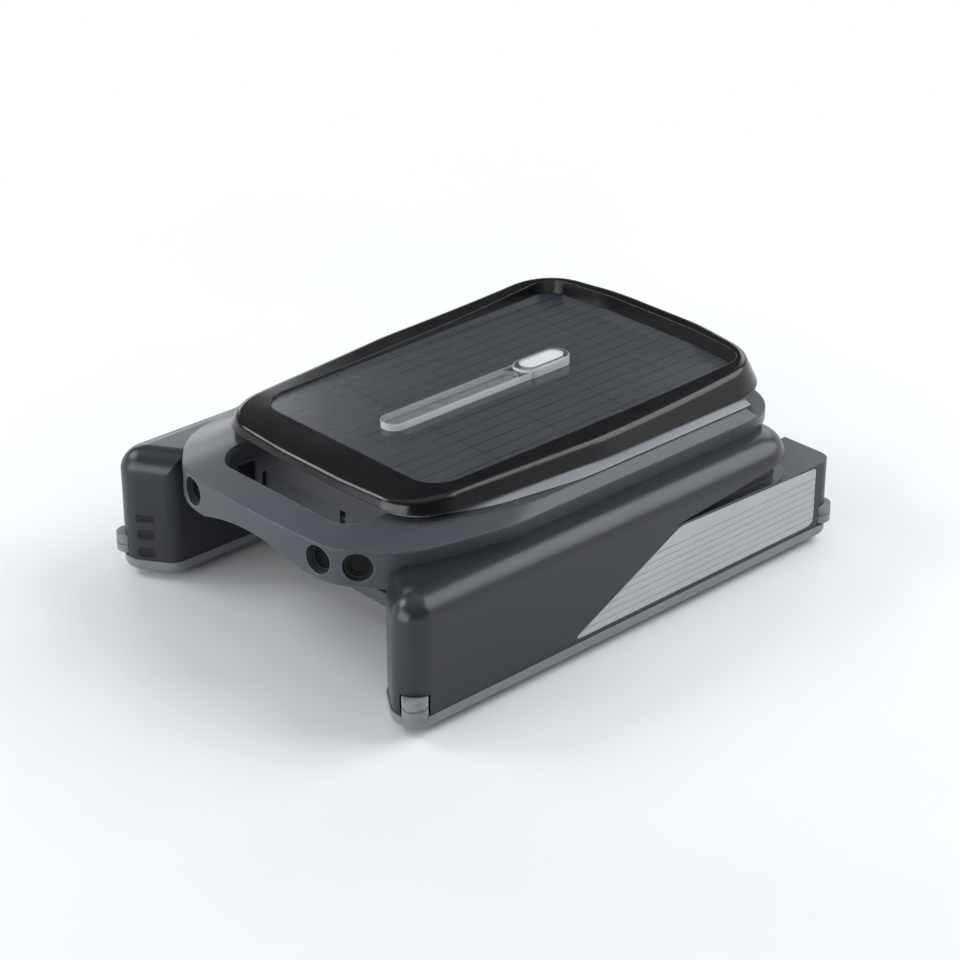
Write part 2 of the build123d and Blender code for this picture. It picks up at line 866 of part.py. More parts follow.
# Gear plate on its four bosses, which carries the motor and the idler's pin
plate_length = plate_rear_y - plate_front_y
plate_height = plate_high_z - plate_low_z
plate_middle_y = (plate_front_y + plate_rear_y) / 2
plate_middle_z = (plate_low_z + plate_high_z) / 2
with BuildPart() as gear_plate:
    with BuildSketch(side_plane(plate_x, plate_middle_y, plate_middle_z)):
        RectangleRounded(plate_length, plate_height, plate_corner)
        with Locations((wheel_y - plate_middle_y, wheel_z - plate_middle_z)):
            Circle(axle_diameter / 2 + plate_axle_clearance, mode=Mode.SUBTRACT)
        with Locations((idler_y - plate_middle_y, wheel_z - plate_middle_z)):
            Circle(idler_pin_diameter / 2, mode=Mode.SUBTRACT)
        with Locations((pinion_y - plate_middle_y, wheel_z - plate_middle_z)):
            Circle(motor_shaft_diameter / 2 + motor_shaft_clearance, mode=Mode.SUBTRACT)
    extrude(amount=plate_thickness)
keep_pair("gear_plate", gear_plate.part)
keep_pair("idler_pin", side_disc(idler_pin_diameter, inner_face_x, plate_back_x, idler_y, wheel_z))

motor_end_x = plate_back_x + motor_length
with BuildPart() as motor:
    add(side_disc(motor_diameter, plate_back_x, motor_end_x, pinion_y, wheel_z))
    add(side_disc(motor_cap_diameter, motor_end_x, motor_end_x + motor_cap_length, pinion_y, wheel_z))
    add(
        side_disc(
            motor_shaft_diameter + 2 * running_gap,
            plate_back_x,
            plate_back_x + motor_shaft_depth + seat_gap,
            pinion_y,
            wheel_z,
        ),
        mode=Mode.SUBTRACT,
    )
keep_pair("motor", motor.part)

# Battery pack of four wrapped cells, in a cradle on the tray
battery_x = (inner_face_x + outer_face_x) / 2
pack_width = 2 * cell_diameter
cradle_low = tray_low + tray_floor
pack_low = cradle_low + cradle_wall
with BuildPart() as battery_pack:
    with BuildSketch(Plane.XZ.offset(-(battery_y + cell_length / 2))):
        with Locations((battery_x, pack_low + pack_width / 2)):
            RectangleRounded(pack_width, pack_width, cell_diameter / 2.1)
            with PolarLocations(pack_width / 2, 4):
                RegularPolygon(cell_groove, 4, mode=Mode.SUBTRACT)
    extrude(amount=cell_length)
keep_pair("battery_pack", battery_pack.part)

with BuildPart() as cradle:
    with Locations((battery_x, battery_y, cradle_low)):
        Box(
            pack_width + 2 * (cradle_wall + seat_gap),
            cell_length + 2 * (cradle_wall + seat_gap),
            cradle_height,
            align=(Align.CENTER, Align.CENTER, Align.MIN),
        )
    with Locations((battery_x, battery_y, pack_low)):
        Box(
            pack_width + 2 * seat_gap,
            cell_length + 2 * seat_gap,
            cradle_height,
            align=(Align.CENTER, Align.CENTER, Align.MIN),
            mode=Mode.SUBTRACT,
        )
keep_pair("battery_cradle", cradle.part)

# Deck outlines: the side band, and the rim that the lid closes on
bar_front_y_middle = deck_front_y - bar_bow
band_points = [
    (bar_bow_half, bar_front_y_middle),
    (deck_half_width - pod_inset, deck_front_y),
    (deck_half_width - shoulder_inset, shoulder_y),
    (deck_half_width, side_y),
    (deck_half_width, deck_rear_y),
]
band_radii = [bar_bow_radius, pod_bend, shoulder_bend, side_bend, rear_bend]
rim_points = [
    (bar_bow_half, rim_front_y - rim_front_bow),
    (rim_half_width - rim_pod_inset, rim_front_y),
    (rim_half_width - rim_shoulder_inset, rim_shoulder_y),
    (rim_half_width, rim_side_y),
    (rim_half_width, rim_rear_y),
]
rim_radii = [bar_bow_radius, rim_pod_bend, rim_shoulder_bend, side_bend, rim_rear_bend]
band_outline = mirrored_outline(band_points, band_radii)
rim_outline = mirrored_outline(rim_points, rim_radii)
handle_rear_y = well_front_y + well_corner
handle_outline = mirrored_outline(
    [(handle_half_width, handle_front_y), (handle_half_width, handle_rear_y)], [handle_corner, 0]
)
well_outline = rounded_box_outline(well_half_width, well_front_y, well_rear_y, well_corner)
step_outline = grown(well_outline, well_step)
with BuildSketch() as skirt_outline:
    add(band_outline)
    with Locations((0, deck_front_y)):
        Rectangle(
            2 * (tunnel_half_width - seat_gap), 2 * (skirt_rear_y - deck_front_y), mode=Mode.INTERSECT
        )


def ledge_cut(drop):
    """Room above the lowered ledge behind the lid, in the side view."""
    front_y = rear_ledge_y - rear_ledge_slope - drop
    points = [
        (front_y, deck_rim_top - drop),
        (rear_ledge_y - drop, rear_ledge_z - drop),
        (tail_y, rear_ledge_z - drop),
        (tail_y, deck_rim_top + deck_wall),
        (front_y, deck_rim_top + deck_wall),
    ]
    return side_prism(outline(points, [0] * 5), -float_half_width, float_half_width)


# Sensor axes, as planes facing out of the deck's corners
sensor_planes = {}
for name, x, y, yaw in (
    ("front", front_sensor_x, front_sensor_y, front_sensor_yaw),
    ("corner", corner_sensor_x, corner_sensor_y, corner_sensor_yaw),
):
    for side, sign in (("left", -1), ("right", 1)):
        bearing = math.radians(yaw)
        sensor_planes[side + "_" + name] = Plane(
            origin=(sign * x, y, sensor_z),
            x_dir=(math.cos(bearing), sign * math.sin(bearing), 0),
            z_dir=(sign * math.sin(bearing), -math.cos(bearing), 0),
        )


def sensor_cylinder(plane, diameter, near, far):
    """A cylinder along a sensor's axis, between two depths behind its face."""
    with BuildPart() as block:
        with BuildSketch(plane.offset(-far)):
            Circle(diameter / 2)
        extrude(amount=far - near)
    return block.part


both_deck_screws = deck_screw_spots + [(-x, y) for x, y in deck_screw_spots]


def front_prism(face, near_y, far_y):
    """An outline in the front view (X, Z) drawn rearwards from one Y to another."""
    with BuildPart() as block:
        with BuildSketch(Plane.XZ.offset(-far_y)):
            add(face)
        extrude(amount=far_y - near_y)
    return block.part


# Hollow under the deck, leaving the well, the handle's surround, the sensor housings, ribs and pillars
with BuildPart() as deck_hollow:
    add(prism(grown(skirt_outline.sketch, -skirt_wall), skirt_low, deck_band_top - deck_wall))
    add(prism(grown(band_outline, -deck_wall), float_top, deck_band_top - deck_wall))
    add(prism(grown(rim_outline, -2 * deck_wall), float_top, deck_rim_top - deck_wall))
    add(prism(grown(step_outline, deck_wall), skirt_low, deck_rim_top), mode=Mode.SUBTRACT)
    add(prism(grown(handle_outline, deck_wall), skirt_low, deck_rim_top), mode=Mode.SUBTRACT)
    add(ledge_cut(deck_wall), mode=Mode.SUBTRACT)
    for plane in sensor_planes.values():
        housing = sensor_bore + 2 * sensor_wall
        add(
            sensor_cylinder(plane, housing, -sensor_depth, sensor_depth + sensor_wall),
            mode=Mode.SUBTRACT,
        )
    with Locations((0, deck_rib_front_y, float_top), (0, deck_rib_middle_y, float_top)):
        Box(
            2 * deck_half_width,
            deck_rib_thickness,
            deck_rim_top - float_top,
            align=(Align.CENTER, Align.CENTER, Align.MIN),
            mode=Mode.SUBTRACT,
        )
    with Locations((-hinge_x, well_rear_y, float_top), (hinge_x, well_rear_y, float_top)):
        Box(
            deck_rib_thickness,
            deck_rear_y - well_rear_y,
            deck_rim_top - float_top,
            align=(Align.CENTER, Align.MIN, Align.MIN),
            mode=Mode.SUBTRACT,
        )
    add(pillars(both_deck_screws, pillar_diameter, float_top, deck_rim_top), mode=Mode.SUBTRACT)

# Arch under the bar, in the front view
with BuildSketch() as bar_arch:
    with BuildLine():
        arch_top = (0, skirt_low + bar_rise)
        ThreePointArc((-bar_half_span, skirt_low), arch_top, (bar_half_span, skirt_low))
        Line((bar_half_span, skirt_low), (-bar_half_span, skirt_low))
    make_face()

# Hinge places: the lid's knuckle sits between two deck knuckles at each hinge
half_lid_knuckle = lid_knuckle_length / 2
deck_knuckle_spans = []
for side_x in (-hinge_x, hinge_x):
    near = half_lid_knuckle + knuckle_gap
    far = near + deck_knuckle_length
    deck_knuckle_spans.append((side_x - far, side_x - near))
    deck_knuckle_spans.append((side_x + near, side_x + far))


def knuckle(near_x, far_x, web_low, web_high):
    """A hinge knuckle with its web, bored for the pin by the caller."""
    with BuildPart() as block:
        add(side_disc(2 * knuckle_radius, near_x, far_x, hinge_y, hinge_z))
        with Locations(((near_x + far_x) / 2, hinge_y, web_low)):
            Box(
                far_x - near_x,
                2 * knuckle_radius,
                web_high - web_low,
                align=(Align.CENTER, Align.CENTER, Align.MIN),
            )
    return block.part


def on_band_edge(edge):
    """True for the crease between the deck's upright band and the slope above it."""
    return abs(edge.center().Z - deck_band_top) < running_gap


# Flared lip round the handle opening
with BuildPart() as handle_mouth:
    with BuildSketch(Plane.XY.offset(deck_band_top)):
        add(handle_outline)
    with BuildSketch(Plane.XY.offset(deck_rim_top)):
        add(grown(handle_outline, handle_flare))
    loft(ruled=True)

with BuildPart() as deck:
    # Front skirt between the floats, which holds the sensors and the carrying bar
    add(prism(skirt_outline.sketch, skirt_low, float_top))
    fillet(deck.edges().group_by(Axis.Z)[0].sort_by(Axis.Y)[:-1], skirt_edge_radius)
    add(front_prism(bar_arch.sketch, bar_front_y_middle, skirt_rear_y), mode=Mode.SUBTRACT)
    # Band and the slope up to the lid's rim
    add(prism(band_outline, float_top, deck_band_top))
    with BuildSketch(Plane.XY.offset(deck_band_top)):
        add(band_outline)
    with BuildSketch(Plane.XY.offset(deck_rim_top)):
        add(rim_outline)
    loft(ruled=True)
    fillet(deck.edges().filter_by(on_band_edge), band_edge_radius)
    # Openings, the ledge and the hollow underneath
    add(prism(handle_outline, skirt_low, deck_rim_top), mode=Mode.SUBTRACT)
    add(handle_mouth.part, mode=Mode.SUBTRACT)
    add(prism(well_outline, float_top, deck_rim_top), mode=Mode.SUBTRACT)
    add(prism(step_outline, well_step_z, deck_rim_top), mode=Mode.SUBTRACT)
    add(ledge_cut(0), mode=Mode.SUBTRACT)
    add(deck_hollow.part, mode=Mode.SUBTRACT)
    for plane in sensor_planes.values():
        add(sensor_cylinder(plane, sensor_bore, -sensor_depth, sensor_depth), mode=Mode.SUBTRACT)
    # Screw holes and hinge knuckles
    add(pillars(both_deck_screws, screw_diameter, float_top, deck_rim_top), mode=Mode.SUBTRACT)
    add(
        pillars(
            both_deck_screws, screw_head_diameter, deck_rim_top - screw_head_height, deck_rim_top
        ),
        mode=Mode.SUBTRACT,
    )
    for near_x, far_x in deck_knuckle_spans:
        add(knuckle(near_x, far_x, rear_ledge_z, hinge_z))
        add(side_disc(hinge_pin_diameter, near_x, far_x, hinge_y, hinge_z), mode=Mode.SUBTRACT)
keep("deck", deck.part)
keep("deck_screws", screws(both_deck_screws, deck_rim_top, deck_screw_low))

# Sensors in their grommets
sensor_near = sensor_depth - sensor_length
for name, plane in sensor_planes.items():
    with BuildPart() as sensor:
        add(sensor_cylinder(plane, transducer_diameter, sensor_near, sensor_depth))
        add(
            sensor_cylinder(
                plane,
                transducer_face_share * transducer_diameter,
                sensor_near,
                sensor_near + sensor_face_recess,
            ),
            mode=Mode.SUBTRACT,
        )
    keep(name + "_sensor", sensor.part)

with BuildPart() as grommets:
    for plane in sensor_planes.values():
        add(sensor_cylinder(plane, sensor_bore, sensor_near - sensor_face_recess, sensor_depth))
    for plane in sensor_planes.values():
        add(
            sensor_cylinder(plane, transducer_diameter, sensor_near - sensor_face_recess, sensor_depth),
            mode=Mode.SUBTRACT,
        )
keep("sensor_grommets", grommets.part)

# Lid outlines: the lid's foot, its crown where the sides would meet the top, and the panel
lid_points = [
    (lid_front_bow_half, lid_front_y - lid_front_bow),
    (lid_front_half, lid_front_y),
    (lid_rear_half - lid_flare_inset, lid_flare_y),
    (lid_rear_half, lid_side_rear_y),
    (lid_bow_half, lid_rear_y),
]
lid_radii = [lid_flare_radius, lid_front_corner, lid_flare_radius, lid_rear_corner, lid_bow_radius]
crown_points = [
    (lid_front_bow_half, lid_front_y - lid_front_bow + lid_lean),
    (lid_front_half - lid_lean, lid_front_y + lid_lean),
    (lid_rear_half - lid_flare_inset - lid_lean, lid_flare_y),
    (lid_rear_half - lid_lean, lid_side_rear_y - lid_lean),
    (lid_bow_half, lid_rear_y - lid_lean),
]
crown_radii = [
    lid_flare_radius,
    lid_front_corner - lid_lean,
    lid_flare_radius,
    lid_rear_corner - lid_lean,
    lid_bow_radius,
]
lid_outline = mirrored_outline(lid_points, lid_radii)
crown_outline = mirrored_outline(crown_points, crown_radii)
panel_points = [
    (panel_front_half, panel_front_y),
    (panel_rear_half, panel_side_rear_y),
    (lid_bow_half, panel_rear_y),
]
panel_radii = [panel_front_corner, panel_rear_corner, panel_bow_radius]
panel_outline = mirrored_outline(panel_points, panel_radii)
panel_low = panel_top - panel_thickness
hollow_top = panel_low - panel_floor


def lid_form(inset):
    """The lid's outer form, cut along its rim line, which rises to the rear."""
    nose = lid_front_y - lid_front_bow
    with BuildSketch() as above_rim:
        with BuildLine():
            Spline(
                (nose, rim_front_z - inset),
                (rim_shelf_y, rim_shelf_z - inset),
                (rim_flat_y, rim_flat_z - inset),
                (rim_mid_y, rim_mid_z - inset),
                (rim_rise_y, rim_rise_z - inset),
                (lid_rear_y, rim_rear_z - inset),
            )
            Polyline(
                (lid_rear_y, rim_rear_z - inset),
                (lid_rear_y, lid_form_top),
                (nose, lid_form_top),
                (nose, rim_front_z - inset),
            )
        make_face()
    with BuildPart() as form:
        with BuildSketch(Plane.XY.offset(frame_low)):
            add(grown(lid_outline, -inset))
        with BuildSketch(Plane.XY.offset(lid_form_top)):
            add(grown(crown_outline, -inset))
        loft(ruled=True)
        add(side_prism(above_rim.sketch, -lid_rear_half, lid_rear_half), mode=Mode.SUBTRACT)
    return form.part


def panel_half(y):
    """Half width of the solar panel at a place along it."""
    share = (y - panel_front_y) / (panel_side_rear_y - panel_front_y)
    return panel_front_half + share * (panel_rear_half - panel_front_half)


lid_screw_spots = [
    (side * (panel_half(y) - panel_ring / 4), y)
    for y in (lid_screw_front_y, lid_screw_middle_y, lid_screw_rear_y)
    for side in (-1, 1)
]
button_y = bar_rear_y - collar_length / 2
with BuildSketch() as stem_slot:
    with Locations((0, button_y)):
        Rectangle(button_stem_width + 2 * button_clearance, button_stem_length + 2 * button_clearance)

# Hollow between the lid's skin and the panel's surround
with BuildPart() as frame_hollow:
    add(lid_form(frame_wall))
    surround = grown(panel_outline, frame_wall + recess_lean)
    add(prism(surround, frame_low, lid_form_top), mode=Mode.SUBTRACT)

# Recess above the panel, its walls leaning outwards
with BuildPart() as recess:
    with BuildSketch(Plane.XY.offset(panel_top)):
        add(panel_outline)
    with BuildSketch(Plane.XY.offset(lid_form_top)):
        add(grown(panel_outline, recess_lean))
    loft(ruled=True)

with BuildPart() as panel_frame:
    add(lid_form(0))
    fillet(panel_frame.faces().sort_by(Axis.Z)[-1].edges(), rim_outer_radius)
    add(prism(panel_outline, panel_low, panel_top), mode=Mode.SUBTRACT)
    add(recess.part, mode=Mode.SUBTRACT)
    add(prism(grown(panel_outline, -panel_ring), frame_low, hollow_top), mode=Mode.SUBTRACT)
    add(frame_hollow.part, mode=Mode.SUBTRACT)
    add(prism(stem_slot.sketch, hollow_top, panel_low), mode=Mode.SUBTRACT)
    add(pillars(lid_screw_spots, screw_diameter, frame_low, hollow_top), mode=Mode.SUBTRACT)
keep("panel_frame", panel_frame.part)

# Solar panel, light bar and power button
with BuildPart() as solar_panel:
    add(prism(grown(panel_outline, -seat_gap), panel_low, panel_top))
    add(prism(stem_slot.sketch, panel_low, panel_top), mode=Mode.SUBTRACT)
keep("solar_panel", solar_panel.part)

seat_z = panel_top + button_seat_height
lamp_front_y = bar_front_y + bar_wall
lamp_rear_y = bar_rear_y - collar_length - bar_wall
with BuildPart() as light_bar:
    with BuildSketch(Plane.XY.offset(panel_top)):
        with Locations((0, (bar_front_y + bar_rear_y) / 2)):
            SlotOverall(bar_rear_y - bar_front_y, bar_width, rotation=90)
    extrude(amount=bar_height)
    with BuildSketch(Plane.XY.offset(panel_top)):
        with Locations((0, button_y)):
            SlotOverall(collar_length, collar_width, rotation=90)
    extrude(amount=collar_height)
    fillet(light_bar.edges().group_by(Axis.Z)[-1], bar_edge_radius)
    with BuildSketch(Plane.XY.offset(seat_z)):
        with Locations((0, button_y)):
            SlotOverall(
                button_length + 2 * button_clearance, button_width + 2 * button_clearance, rotation=90
            )
    extrude(amount=collar_height, mode=Mode.SUBTRACT)
    add(prism(stem_slot.sketch, panel_top, seat_z), mode=Mode.SUBTRACT)
    with BuildSketch(Plane.XY.offset(panel_top)):
        with Locations((0, (lamp_front_y + lamp_rear_y) / 2)):
            SlotOverall(lamp_rear_y - lamp_front_y, bar_width - 2 * bar_wall, rotation=90)
    extrude(amount=bar_height - bar_wall, mode=Mode.SUBTRACT)
keep("light_bar", light_bar.part)

# Lamp board inside the light bar
lamp_middle_y = (lamp_front_y + lamp_rear_y) / 2
lamp_length = lamp_rear_y - lamp_front_y - 2 * (led_board_gap + bar_wall)
with BuildPart() as lamp_board:
    with BuildSketch(Plane.XY.offset(panel_top)):
        with Locations((0, lamp_middle_y)):
            RectangleRounded(led_board_width, lamp_length, led_board_thickness)
    extrude(amount=led_board_thickness)
    with BuildSketch(Plane.XY.offset(panel_top + led_board_thickness)):
        with Locations((0, lamp_middle_y)):
            with GridLocations(1, led_pitch, 1, led_count):
                RectangleRounded(led_size, led_size, led_board_thickness)
    extrude(amount=led_height)
keep("lamp_board", lamp_board.part)

strip_low = deck_rim_top + seat_gap
board_low = strip_low + base_floor + board_post_height
switch_top = board_low + board_thickness + switch_height
cap_low = seat_z + button_travel + seat_gap
with BuildPart() as power_button:
    with BuildSketch(Plane.XY.offset(cap_low)):
        with Locations((0, button_y)):
            SlotOverall(button_length, button_width, rotation=90)
    extrude(amount=button_height)
    fillet(power_button.edges().group_by(Axis.Z)[-1], button_edge_radius)
    stem_low = switch_top + button_travel + seat_gap
    with BuildSketch(Plane.XY.offset(stem_low)):
        with Locations((0, button_y)):
            Rectangle(button_stem_width, button_stem_length)
    extrude(amount=cap_low - stem_low)
keep("power_button", power_button.part)

post_spots = [
    (x, button_y + y)
    for x in (board_post_inset - board_width / 2, board_width / 2 - board_post_inset)
    for y in (board_post_inset - board_length / 2, board_length / 2 - board_post_inset)
]
with BuildPart() as control_board:
    with Locations((0, button_y, board_low)):
        Box(board_width, board_length, board_thickness, align=(Align.CENTER, Align.CENTER, Align.MIN))
    with Locations((0, button_y, board_low + board_thickness)):
        Box(switch_size, switch_size, switch_height, align=(Align.CENTER, Align.CENTER, Align.MIN))
keep("control_board", control_board.part)

# Lid base: the light strip under the frame, with corner notches, posts and hinge knuckles
strip_front_half = rim_half_width - strip_front_inset
strip_points = [
    (strip_front_half, strip_front_y),
    (strip_half_width - strip_shoulder_inset, strip_shoulder_y),
    (strip_half_width, strip_side_y),
    (strip_half_width, strip_side_rear_y),
    (lid_bow_half, strip_rear_y),
]
strip_radii = [
    strip_front_bend,
    strip_shoulder_bend,
    strip_side_bend,
    strip_rear_bend,
    strip_side_bend,
]
neck_points = [
    (strip_front_half - neck_front_lean, strip_front_y),
    (strip_half_width - strip_shoulder_inset - neck_shoulder_lean, strip_shoulder_y),
    (strip_half_width - neck_side_lean, strip_side_y),
    (strip_half_width - neck_rear_lean, strip_side_rear_y - neck_end_lean),
    (lid_bow_half, strip_rear_y - neck_end_lean),
]
neck_outline = mirrored_outline(neck_points, strip_radii)
with BuildPart() as lid_base:
    with BuildSketch(Plane.XY.offset(strip_low)):
        add(mirrored_outline(strip_points, strip_radii))
    with BuildSketch(Plane.XY.offset(frame_low)):
        add(neck_outline)
    loft(ruled=True)
    add(
        prism(grown(neck_outline, -base_ring), strip_low + base_floor, frame_low),
        mode=Mode.SUBTRACT,
    )
    # Notches at the rear corners, where the lid swings down and fingers reach under it
    for sign in (-1, 1):
        with Locations((sign * strip_half_width, notch_front_y, strip_low)):
            Box(
                2 * notch_depth,
                strip_rear_y - notch_front_y,
                frame_low - strip_low,
                align=(Align.CENTER, Align.MIN, Align.MIN),
                mode=Mode.SUBTRACT,
            )
    add(pillars(post_spots, board_post_diameter, strip_low + base_floor, board_low))
    add(pillars(lid_screw_spots, pillar_diameter, strip_low, frame_low))
    add(pillars(lid_screw_spots, screw_diameter, strip_low, frame_low), mode=Mode.SUBTRACT)
    add(
        pillars(lid_screw_spots, screw_head_diameter, strip_low, strip_low + screw_head_height),
        mode=Mode.SUBTRACT,
    )
    for side_x in (-hinge_x, hinge_x):
        near_x = side_x - half_lid_knuckle
        far_x = side_x + half_lid_knuckle
        add(knuckle(near_x, far_x, hinge_z, strip_low + base_floor))
        add(
            side_disc(hinge_pin_diameter + 2 * running_gap, near_x, far_x, hinge_y, hinge_z),
            mode=Mode.SUBTRACT,
        )
keep("lid_base", lid_base.part)
keep("lid_screws", screws(lid_screw_spots, strip_low, hollow_top))

pin_reach = half_lid_knuckle + knuckle_gap + deck_knuckle_length
with BuildPart() as hinge_pins:
    for side_x in (-hinge_x, hinge_x):
        add(side_disc(hinge_pin_diameter, side_x - pin_reach, side_x + pin_reach, hinge_y, hinge_z))
keep("lid_hinge_pins", hinge_pins.part)

# Debris basket that hangs in the deck's well
basket_outline = grown(well_outline, -basket_gap)
basket_inner = grown(basket_outline, -basket_wall)
flange_outline = grown(step_outline, -basket_flange_gap)
flange_top = well_step_z + basket_flange
front_face_y = well_front_y + basket_gap + basket_wall
rear_face_y = well_rear_y - basket_gap - basket_wall
side_face_x = well_half_width - basket_gap - basket_wall
floor_top = basket_low + basket_wall
flap_axis_y = front_face_y + flap_tube_gap + flap_tube_radius
window_span = rear_face_y - front_face_y - 2 * window_margin
window_pitch = window_span / side_windows
window_height = window_high - window_low
window_middle_z = (window_high + window_low) / 2
basket_middle_y = (front_face_y + rear_face_y) / 2
rear_pitch = 2 * (side_face_x - window_margin) / rear_windows
floor_pitch_x = 2 * (side_face_x - window_margin) / floor_columns
floor_pitch_y = window_span / floor_rows
lug_spots = [-(mouth_half_width + lug_width), 0.0, mouth_half_width + lug_width]

with BuildPart() as basket:
    add(prism(basket_outline, basket_low, well_step_z))
    add(prism(flange_outline, well_step_z, flange_top))
    add(prism(basket_inner, floor_top, flange_top), mode=Mode.SUBTRACT)
    # Mouth in the front wall
    with BuildSketch(Plane.XZ.offset(-front_face_y)):
        with Locations((0, (mouth_low + mouth_high) / 2)):
            RectangleRounded(2 * mouth_half_width, mouth_high - mouth_low, mouth_corner)
    extrude(amount=2 * basket_wall, mode=Mode.SUBTRACT)
    # Windows in the sides, the rear and the floor
    with BuildSketch(side_plane(-well_half_width, basket_middle_y, window_middle_z)):
        with GridLocations(window_pitch, 1, side_windows, 1):
            RectangleRounded(window_pitch - window_gap, window_height, window_corner)
    extrude(amount=2 * well_half_width, mode=Mode.SUBTRACT)
    with BuildSketch(Plane.XZ.offset(-well_rear_y)):
        with Locations((0, window_middle_z)):
            with GridLocations(rear_pitch, 1, rear_windows, 1):
                RectangleRounded(rear_pitch - window_gap, window_height, window_corner)
    extrude(amount=2 * basket_wall, mode=Mode.SUBTRACT)
    with BuildSketch(Plane.XY.offset(basket_low)):
        with Locations((0, basket_middle_y)):
            with GridLocations(floor_pitch_x, floor_pitch_y, floor_columns, floor_rows):
                RectangleRounded(floor_pitch_x - window_gap, floor_pitch_y - window_gap, window_corner)
    extrude(amount=basket_wall, mode=Mode.SUBTRACT)
    # Grips to lift it by
    for sign in (-1, 1):
        with Locations((sign * (side_face_x - grip_width / 2), basket_middle_y, well_step_z)):
            Box(
                grip_width,
                grip_length,
                basket_flange,
                align=(Align.CENTER, Align.CENTER, Align.MIN),
            )
            Box(
                grip_slot,
                grip_length - grip_width,
                basket_flange,
                align=(Align.CENTER, Align.CENTER, Align.MIN),
                mode=Mode.SUBTRACT,
            )
    # Lugs of the flaps' pin
    for lug_x in lug_spots:
        with Locations((lug_x, front_face_y, flap_axis_z)):
            Box(
                lug_width,
                flap_axis_y + lug_reach - front_face_y,
                2 * lug_reach,
                align=(Align.CENTER, Align.MIN, Align.CENTER),
            )
    pin_end = mouth_half_width + 1.5 * lug_width
    add(side_disc(flap_pin_diameter, -pin_end, pin_end, flap_axis_y, flap_axis_z), mode=Mode.SUBTRACT)
keep("basket", basket.part)
keep("flap_pin", side_disc(flap_pin_diameter, -pin_end, pin_end, flap_axis_y, flap_axis_z))

# Fine mesh sheets on the inside of the windows
mesh_width = 2 * (side_face_x - window_margin)
mesh_height = window_height + window_margin / 2
with BuildPart() as basket_mesh:
    for sign in (-1, 1):
        with Locations((sign * (side_face_x - mesh_thickness / 2), basket_middle_y, window_middle_z)):
            Box(mesh_thickness, window_span, mesh_height)
    with Locations((0, rear_face_y - mesh_thickness / 2, window_middle_z)):
        Box(mesh_width, mesh_thickness, mesh_height)
    with Locations((0, basket_middle_y, floor_top + mesh_thickness / 2)):
        Box(mesh_width, window_span, mesh_thickness)
keep("basket_mesh", basket_mesh.part)

# One-way flaps behind the mouth
flap_near_x = lug_width / 2 + flap_side_gap
flap_far_x = lug_spots[-1] - lug_width / 2 - flap_side_gap
flap_length = flap_far_x - flap_near_x
flap_middle_x = (flap_near_x + flap_far_x) / 2
flap_rib_pitch = (flap_axis_z - flap_low) / (flap_ribs + 1)
with BuildPart() as flap:
    add(side_disc(2 * flap_tube_radius, flap_near_x, flap_far_x, flap_axis_y, flap_axis_z))
    with Locations((flap_middle_x, flap_axis_y, flap_low)):
        Box(
            flap_length,
            flap_thickness,
            flap_axis_z - flap_low,
            align=(Align.CENTER, Align.CENTER, Align.MIN),
        )
    with Locations(
        *[
            (flap_middle_x, flap_axis_y + flap_thickness / 2, flap_low + flap_rib_pitch * n)
            for n in range(1, flap_ribs + 1)
        ]
    ):
        Box(flap_length, flap_rib_depth, flap_rib_height, align=(Align.CENTER, Align.MIN, Align.CENTER))
    bore = flap_pin_diameter + 2 * running_gap
    add(side_disc(bore, flap_near_x, flap_far_x, flap_axis_y, flap_axis_z), mode=Mode.SUBTRACT)
keep_pair("flap", flap.part)

os.makedirs("parts", exist_ok=True)
for label, piece in pieces.items():
    export_step(piece, f"parts/{label}.step")
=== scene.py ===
import bmesh
import bpy
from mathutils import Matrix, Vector


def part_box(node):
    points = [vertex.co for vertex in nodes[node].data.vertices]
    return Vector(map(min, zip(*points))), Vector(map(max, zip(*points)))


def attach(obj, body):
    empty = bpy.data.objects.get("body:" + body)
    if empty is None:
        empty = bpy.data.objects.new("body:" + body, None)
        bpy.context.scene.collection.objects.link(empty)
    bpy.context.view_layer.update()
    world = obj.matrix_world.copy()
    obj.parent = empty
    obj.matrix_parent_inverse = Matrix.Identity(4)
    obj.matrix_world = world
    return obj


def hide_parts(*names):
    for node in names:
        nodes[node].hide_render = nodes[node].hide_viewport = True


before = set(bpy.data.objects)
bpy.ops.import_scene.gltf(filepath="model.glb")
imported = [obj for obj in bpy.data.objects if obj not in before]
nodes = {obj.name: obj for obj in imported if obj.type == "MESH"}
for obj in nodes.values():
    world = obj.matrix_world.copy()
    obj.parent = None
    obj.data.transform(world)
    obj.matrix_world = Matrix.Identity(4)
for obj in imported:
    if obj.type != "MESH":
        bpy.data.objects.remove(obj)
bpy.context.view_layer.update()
scene = bpy.context.scene

# Node helpers

# Most of a noise texture's values lie between these
NOISE_LOW, NOISE_HIGH = 0.3, 0.7
# Sockets of the Mix node for colours
MIX_FIRST, MIX_SECOND, MIX_RESULT = 6, 7, 2


